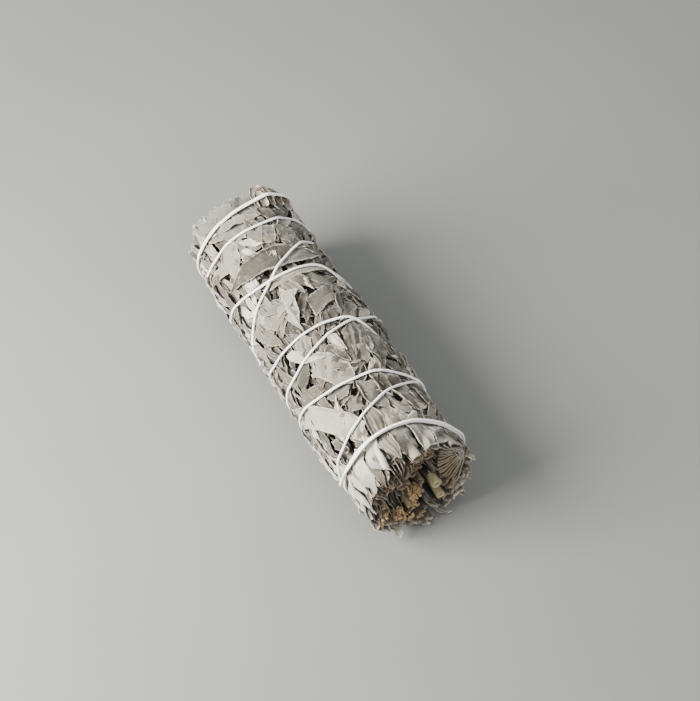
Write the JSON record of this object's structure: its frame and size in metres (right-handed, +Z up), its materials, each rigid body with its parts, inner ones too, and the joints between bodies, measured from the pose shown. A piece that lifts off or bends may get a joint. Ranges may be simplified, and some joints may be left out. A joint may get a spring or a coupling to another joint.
{
  "type": "sage smudge bundle",
  "caption": "Bundle of dried white sage leaves on cut stems, bound with wound cotton thread, lying on its side.",
  "frame": {"origin": "on the surface it lies on, under the middle of the bounding box", "axes": "+X along the bundle towards the cut stems, +Z up, the leaf tips at -X"},
  "size_m": [0.1226, 0.0392, 0.0403],
  "materials": {
    "dried_leaf": "matte, felted, creased",
    "stem_wood": "dry, fibrous",
    "dry_bud": "fuzzy, matte",
    "cotton": "twisted thread, matte"
  },
  "bodies": {
    "root": {"leaf_bunch": "dried_leaf", "stem_1": "stem_wood", "stem_2": "stem_wood", "stem_3": "stem_wood", "stem_4": "stem_wood", "stem_5": "stem_wood", "stem_6": "stem_wood", "bud_1": "dry_bud", "bud_2": "dry_bud", "binding_thread": "cotton"}
  },
  "joints": []
}
